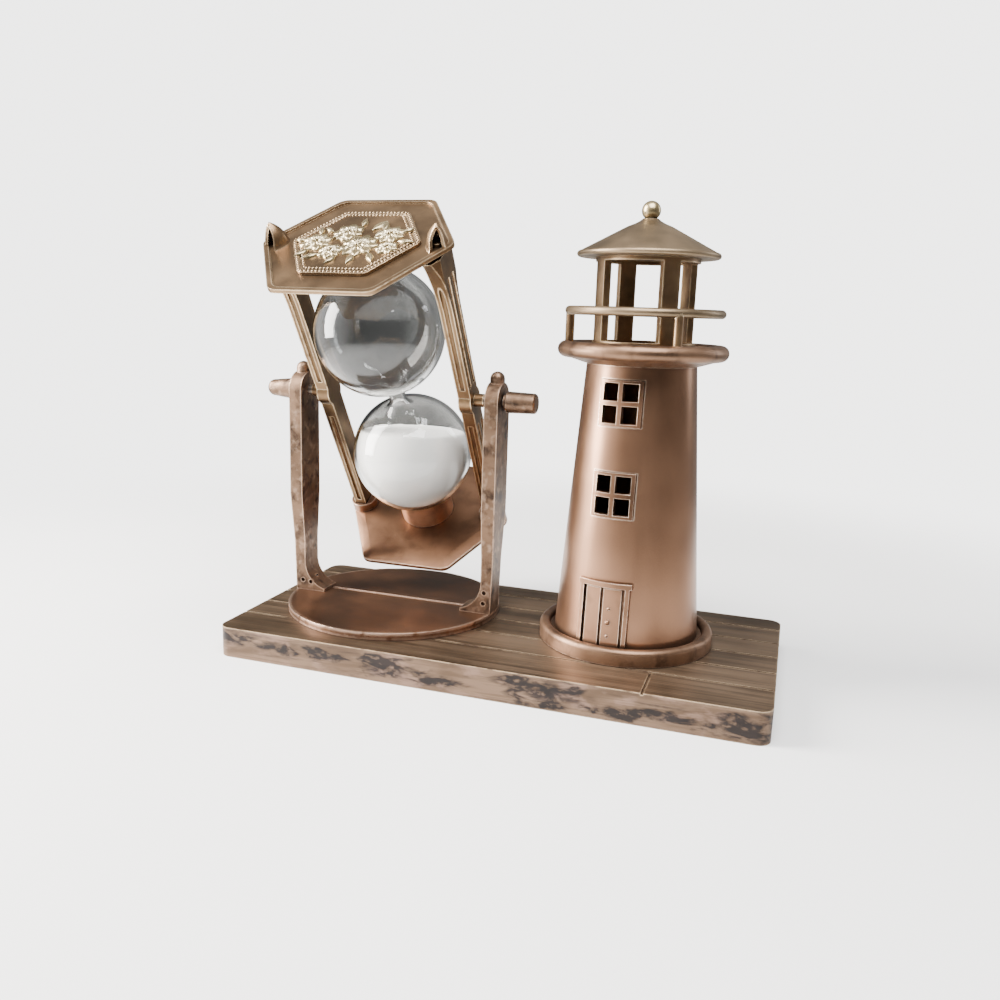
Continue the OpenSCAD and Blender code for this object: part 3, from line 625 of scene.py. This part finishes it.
def add_petal(bm, root, direction, length, width, height, pointed=0.0):
    """A domed petal or leaf with a crease along its middle, lying on z = 0."""
    ahead = Vector((math.cos(direction), math.sin(direction), 0))
    side = Vector((-ahead.y, ahead.x, 0))
    along = 10
    across = 8
    rows = []
    for i in range(along + 1):
        u = i / along
        fullness = math.sin(math.pi * u) ** (0.6 + 0.5 * pointed)
        lean = (0.5 - u) if pointed else (u - 0.5)
        half = 0.5 * width * max(fullness * (1 + 0.5 * lean), 0.04)
        row = []
        for j in range(across + 1):
            v = 2 * j / across - 1
            dome = math.sqrt(max(0, 1 - v * v)) * math.sin(math.pi * (0.08 + 0.86 * u)) ** 0.5
            crease = CREASE_DEPTH * math.exp(-(v / CREASE_WIDTH) ** 2) * math.sin(math.pi * u)
            lift = Vector((0, 0, height * max(0, dome - crease)))
            row.append(bm.verts.new(root + ahead * (u * length) + side * (v * half) + lift))
        rows.append(row)
    for low, high in zip(rows, rows[1:]):
        for j in range(across):
            bm.faces.new((low[j], low[j + 1], high[j + 1], high[j]))


def add_dome(bm, centre, radius, height, turns=10, rings=4):
    """A small round bead that stands on z = 0."""
    below = [bm.verts.new(centre + Vector((
        radius * math.cos(math.tau * i / turns), radius * math.sin(math.tau * i / turns), 0)))
        for i in range(turns)]
    for k in range(1, rings):
        lean = 0.5 * math.pi * k / rings
        ring = [bm.verts.new(centre + Vector((
            radius * math.cos(lean) * math.cos(math.tau * i / turns),
            radius * math.cos(lean) * math.sin(math.tau * i / turns),
            height * math.sin(lean))))
            for i in range(turns)]
        for i in range(turns):
            j = (i + 1) % turns
            bm.faces.new((below[i], below[j], ring[j], ring[i]))
        below = ring
    tip = bm.verts.new(centre + Vector((0, 0, height)))
    for i in range(turns):
        bm.faces.new((below[i], below[(i + 1) % turns], tip))


def add_blossom(bm, centre, radius, petals, turn):
    """A flower of two rings of petals round a beaded middle."""
    for ring, (share, lift) in enumerate(PETAL_RINGS):
        for i in range(petals):
            direction = turn + math.tau * (i + 0.5 * ring) / petals
            spoke = Vector((math.cos(direction), math.sin(direction), 0))
            start = centre + spoke * PETAL_START * radius
            width = PETAL_OVERLAP * radius * share * math.tan(math.pi / petals)
            add_petal(bm, start, direction, PETAL_LENGTH * radius * share, width, lift * MM)
    for i in range(STAMENS):
        direction = math.tau * i / STAMENS
        spoke = Vector((math.cos(direction), math.sin(direction), 0))
        add_dome(bm, centre + 0.13 * radius * spoke, 0.09 * radius, 1.6 * MM, turns=8, rings=3)
    add_dome(bm, centre, 0.1 * radius, 1.8 * MM)


# Flowers and leaves of the embossed spray, in mm from the panel's middle.
BLOSSOMS = [  # x, y, radius, petals
    (-11.6, -1.4, 4.6, 8), (-3.8, 4.4, 4.4, 7), (2.4, -3.0, 5.6, 9),
    (9.6, 3.2, 4.4, 8), (-5.0, -6.4, 3.6, 7), (11.4, -4.2, 3.2, 7),
]
LEAVES = [  # x, y, direction in degrees, length
    (-12, 3, 110, 4.6), (-8.6, 4.6, 150, 4.0), (-1, 8, 95, 4.6), (3.0, 5.6, 65, 6.2), (6.6, 5.6, 95, 5.0),
    (13, 4.6, 40, 3.6), (13.4, -0.6, 0, 4.6), (7, -7, -60, 5.4), (3.0, -8, -95, 5.0), (-2, -9, -115, 4.4),
    (-8, -8, -150, 4.8), (-12, -5.4, -125, 5.0), (-15.4, -0.6, 180, 3.0), (-7.4, 0.8, 60, 3.4),
    (5.4, 1.6, 70, 3.6), (-2.2, -0.4, 160, 3.6),
]


def make_relief(end, flowers, beads, place):
    """The flowers and leaves on an end plate's panel, and the beaded double border round them."""
    bm = bmesh.new()
    for x, y, direction, length in LEAVES:
        add_petal(bm, Vector((x, y, 0)) * MM, math.radians(direction), length * MM,
                  0.45 * length * MM, 0.9 * MM, pointed=1.0)
    for x, y, radius, petals in BLOSSOMS:
        add_blossom(bm, Vector((x, y, 0)) * MM, radius * MM, petals, 0.3 * x)
    bmesh.ops.recalc_face_normals(bm, faces=bm.faces)
    make_piece(f"{end}_flower_relief", bm, flowers, "hourglass", place)

    bm = bmesh.new()
    for inset in BORDER_INSETS:
        corners = hexagon(PANEL_SHARE - inset)
        for start, stop in zip(corners, corners[1:] + corners[:1]):
            count = int((stop - start).length / BEAD_PITCH)
            for i in range(count):
                add_dome(bm, start.lerp(stop, (i + 0.5) / count), BEAD_R, BEAD_R, turns=8, rings=3)
    bmesh.ops.recalc_face_normals(bm, faces=bm.faces)
    make_piece(f"{end}_bead_border", bm, beads, "hourglass", place)


# ---------- hoods on the end plates ----------

def make_hood(name, node, material, side, place):
    """A thin pointed hood whose slanted mouth opens to the front, flared where it meets the plate."""
    curve = (HOOD_R ** 2 + HOOD_H ** 2) / (2 * HOOD_R)
    top = math.asin(HOOD_H / curve)
    steps = 20
    profile = []
    for i in range(steps + 1):
        turn = top * i / steps
        radius = HOOD_R - curve + curve * math.cos(turn)
        height = curve * math.sin(turn)
        flare = HOOD_FOOT * math.exp(-height / HOOD_FOOT_FADE)
        profile.append((max(radius + flare, 0), height))
    profile[-1] = (0, HOOD_H)
    bm = bmesh.new()
    add_lathe(bm, profile, turns=64)
    for vert in bm.verts:
        if vert.co.y < 0:
            vert.co.y *= HOOD_STRETCH
    mouth = Vector((0, HOOD_TOP_MOUTH - HOOD_MOUTH, HOOD_H))
    bmesh.ops.bisect_plane(
        bm, geom=bm.verts[:] + bm.edges[:] + bm.faces[:], dist=1e-7,
        plane_co=(0, HOOD_MOUTH, 0), plane_no=(0, -mouth.z, mouth.y), clear_outer=True)
    for vert in bm.verts:
        rise = vert.co.z / HOOD_H
        vert.co.x += side * HOOD_LEAN_OUT * rise ** 2
        vert.co.y -= HOOD_LEAN_FRONT * rise ** 3
    bmesh.ops.recalc_face_normals(bm, faces=bm.faces)
    piece = make_piece(name, bm, material, "hourglass",
                       place @ Matrix.Translation((side * HOOD_X, 0, PLATE_FLOOR))
                       @ Matrix.Rotation(side * HOOD_TURN, 4, "Z"))
    shell = piece.modifiers.new("wall", "SOLIDIFY")
    shell.thickness = HOOD_WALL
    shell.offset = -1
    rim = piece.modifiers.new("rim", "BEVEL")
    rim.width = HOOD_RIM
    rim.segments = 3
    rim.limit_method = "ANGLE"
    rim.angle_limit = math.radians(50)
    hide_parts(node)


# ---------- stage ----------

def add_light(name, place, target, size, power, colour=(1, 1, 1)):
    """A soft area light aimed at a point."""
    data = bpy.data.lights.new(name, "AREA")
    data.shape = "RECTANGLE"
    data.size, data.size_y = size
    data.energy = power
    data.color = colour
    light = bpy.data.objects.new(name, data)
    bpy.context.scene.collection.objects.link(light)
    light.location = place
    light.rotation_euler = (Vector(target) - Vector(place)).to_track_quat("-Z", "Y").to_euler()
    light.visible_camera = False


def toward(turn, rise):
    """A direction from the ornament: turned from the front towards the left, and raised."""
    return Vector((
        -math.sin(turn) * math.cos(rise), -math.cos(turn) * math.cos(rise), math.sin(rise)))


def make_world():
    """A plain pale surround for the camera, and a studio with a bright left side for the metal."""
    world = bpy.data.worlds.new("studio")
    bpy.context.scene.world = world
    studio = NodeMaker(world)
    direction = studio.add("TexCoord").outputs["Generated"]
    rise = studio.add("SeparateXYZ", {0: direction}).outputs["Z"]

    def lobe(turn, height, start, weak, strong):
        """A soft bright patch of the surround in one direction."""
        facing = studio.add("VectorMath", {0: direction, 1: toward(turn, height)},
                            operation="DOT_PRODUCT")
        return studio.ramp(facing.outputs["Value"], start, 1.0, weak, strong)

    glow = studio.math("ADD", lobe(KEY_TURN, 0.1, 0.55, ROOM_GLOW, SIDE_GLOW),
                       studio.ramp(rise, 0.25, 0.95, 0, CEILING_GLOW))
    glow = studio.math("ADD", glow, lobe(BACK_TURN, GLOW_RISE, 0.6, 0, BACK_GLOW))
    glow = studio.math("ADD", glow, lobe(RIGHT_TURN, GLOW_RISE, 0.75, 0, RIGHT_GLOW))
    glow = studio.math("ADD", glow, studio.ramp(rise, 0.0, -0.3, 0, LOW_GLOW))
    seen = studio.add("LightPath").outputs["Is Camera Ray"]
    strength = studio.add("Mix", data_type="FLOAT")
    studio.put(strength, 0, seen)
    studio.put(strength, 2, glow)
    studio.put(strength, 3, BACKDROP)
    backdrop = studio.nodes["Background"]
    studio.put(backdrop, "Color", (1, 0.99, 0.975))
    studio.put(backdrop, "Strength", strength.outputs[0])


def make_floor():
    """A round pale floor that fades into the surround."""
    look = Look("studio_floor")
    clouds = look.ramp(look.noise(8, detail=2), 0.3, 0.7)
    tone = look.mix(clouds, (0.84, 0.835, 0.83), (0.87, 0.865, 0.86))
    away = look.add("VectorMath", {0: look.spot()}, operation="LENGTH").outputs["Value"]
    look.finish(Base_Color=tone, Roughness=0.7, Alpha=look.ramp(away, *FLOOR_FADE, 1, 0))
    bm = bmesh.new()
    bmesh.ops.create_circle(bm, cap_ends=True, segments=96, radius=FLOOR_R)
    mesh = bpy.data.meshes.new("studio_floor")
    bm.to_mesh(mesh)
    bm.free()
    mesh.materials.append(look.material)
    floor = bpy.data.objects.new("studio_floor", mesh)
    bpy.context.scene.collection.objects.link(floor)


def make_stage(middle):
    """The floor, the surround and three soft lights."""
    make_floor()
    make_world()
    key = middle + toward(KEY_TURN, KEY_RISE) * KEY_AWAY
    add_light("key", key, middle, KEY_SIZE, KEY_WATTS, (1, 0.965, 0.92))
    add_light("top", middle + TOP_AT, middle, TOP_SIZE, TOP_WATTS)
    rim = middle + toward(RIM_TURN, RIM_RISE) * RIM_AWAY
    add_light("rim", rim, middle, RIM_SIZE, RIM_WATTS, (0.95, 0.97, 1))


# ---------- the whole ornament ----------

# Turned pieces whose own mesh is already smooth and round-edged.
ROUND_NODES = {"roof", "roof_finial"}
# How wide the other nodes' edges are rounded, in mm.
PLAIN_EDGE = 0.15
EDGES = {
    "base_board": 0.4, "stand_plate": 0.5, "left_upright": 0.8, "right_upright": 0.8,
    "top_plate": 0.35, "bottom_plate": 0.35, "tower_plinth": 0.3, "tower_shell": 0.2,
    "gallery_deck": 0.25, "left_bar": 0.25, "right_bar": 0.25, "front_door": 0.4,
}


def make_finishes(base_front):
    """The metals and paints: by slot, and for the nodes that differ from their slot's."""
    gold = antique_metal("gold_bronze", GOLD_BRONZE, GOLD_SHADE, GOLD_WORN, patina=0.4)
    # Deeper patina and painted shade in the bars' flutes.
    fluted = antique_metal("fluted_gold", FLUTED_GOLD, GOLD_SHADE, GOLD_WORN, patina=0.5, reach=1.1 * MM,
                           patina_and_shade=(0.92, 0.45), wear=1.0)
    cast = antique_metal("cast_bronze", CAST_BRONZE, CAST_SHADE, CAST_WORN, roughness=0.43, patina=0.95,
                         bare=0.3, patches=230, reach=2 * MM, pits=0.3)
    copper = antique_metal("copper_brown", COPPER, COPPER_SHADE, COPPER_WORN, roughness=0.31, patina=0,
                           cloudy=1, mottle=0.08, pits=0.02)
    ring_copper = antique_metal("ring_copper", RING_COPPER, COPPER_SHADE, DISC_WORN, roughness=0.4,
                                patina=0.7, patches=190)
    # Deeper patina and painted shade in the gaps of the door and windows.
    joinery = antique_metal("rubbed_copper", COPPER, COPPER_SHADE, COPPER_WORN, roughness=0.3, wear=1.0,
                            reach=1.4 * MM, patina_and_shade=(0.97, 0.55), rim=0.35 * MM, cloudy=1, pits=0.02)
    dark_copper = antique_metal("dark_copper", DARK_COPPER, COPPER_SHADE, DISC_WORN, patina=0.2,
                                wear=1.0, rim=2.2 * MM, pits=0.05)
    # Painted light: a paler, brighter copper for the seat, which sits in shade under the bulb.
    painted_lit_seat_copper = antique_metal("painted_lit_seat_copper", PAINTED_LIT_SEAT_COPPER, COPPER_SHADE, COPPER_WORN, reach=0.8 * MM)
    plate_copper = antique_metal("plate_copper", PLATE_COPPER, COPPER_SHADE, COPPER_WORN, patina=0.35,
                                 reach=1.5 * MM)
    brass = antique_metal("olive_brass", BRASS, BRASS_SHADE, BRASS_WORN, roughness=0.42, patina=0.2,
                          pits=0.05)
    relief = antique_metal("rubbed_gold", PALE_GOLD, GOLD_SHADE, PALE_GOLD_WORN, roughness=0.3, wear=0.7,
                           patina=0.2, reach=1.2 * MM, patina_and_shade=(0.8, 0.35))
    by_slot = {
        "bronze": gold, "copper": copper, "brass_bronze": brass, "pale_gold": gold,
        "plank_bronze": plank_paint("plank_paint", base_front + FRONT_PLANK, PLANK),
        "dark_cover": dark_moulding("dark_moulding"),
        "steel": plain_metal("screw_steel", (0.55, 0.53, 0.5), 0.32),
    }
    by_node = {
        "left_upright": cast, "right_upright": cast, "left_knob": cast, "right_knob": cast,
        "upper_window": joinery, "lower_window": joinery, "front_door": joinery,
        "door_surround": joinery, "stand_plate": dark_copper, "roof_finial": relief,
        "left_bar": fluted, "right_bar": fluted, "bottom_plate": plate_copper,
        "tower_plinth": ring_copper, "gallery_deck": ring_copper,
        "bottom_glass_seat": painted_lit_seat_copper,
    }
    return by_slot, by_node


def dress_nodes(frame, by_slot, by_node):
    """Gives each metal or painted CAD node its material and rounded edges."""
    slots = {part["node"]: part["material_slot"] for part in frame["record"]["subparts"]}
    weld = weld_group()
    for name, node in frame["nodes"].items():
        if slots[name] in by_slot:
            node.data.materials.clear()
            node.data.materials.append(by_node.get(name, by_slot[slots[name]]))
            if name not in ROUND_NODES:
                soften(node, weld, EDGES.get(name, PLAIN_EDGE) * MM)


def main():
    """Dresses the frame's nodes, and adds the finer pieces, the camera and the stage."""
    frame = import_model()
    cad_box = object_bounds()
    pivot = Vector(frame["joints"][0]["pos_m"])
    swing = Matrix.Translation(pivot) @ Matrix.Rotation(TILT, 4, "X")
    turned = swing @ Matrix.Rotation(math.pi, 4, "X")

    make_camera()
    base_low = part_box("base_board")[0]
    make_stage(Vector((0, 0, 0.5 * (base_low.z + cad_box[1][2]))))

    by_slot, by_node = make_finishes(base_low.y)
    dress_nodes(frame, by_slot, by_node)
    relief = by_node["roof_finial"]
    gold = by_slot["bronze"]
    bead_gold = antique_metal("bead_gold", BEAD_GOLD, GOLD_SHADE, GOLD_WORN, wear=0.4, patina=0,
                              reach=0.6 * MM, pits=0)

    make_glass(clear_glass("clear_glass"), swing)
    make_sand(white_sand("white_sand"), swing)
    panel_top = Matrix.Translation((0, 0, PLATE_FLOOR + PANEL_T - PANEL_EMBED))
    make_relief("top", relief, bead_gold, swing @ panel_top)
    make_relief("bottom", relief, bead_gold, turned @ panel_top)
    for side, word in ((-1, "left"), (1, "right")):
        make_hood(f"top_{word}_hood", f"top_{word}_claw", gold, side, swing)
        make_hood(f"bottom_{word}_hood", f"bottom_{word}_claw", gold, side, turned)


main()
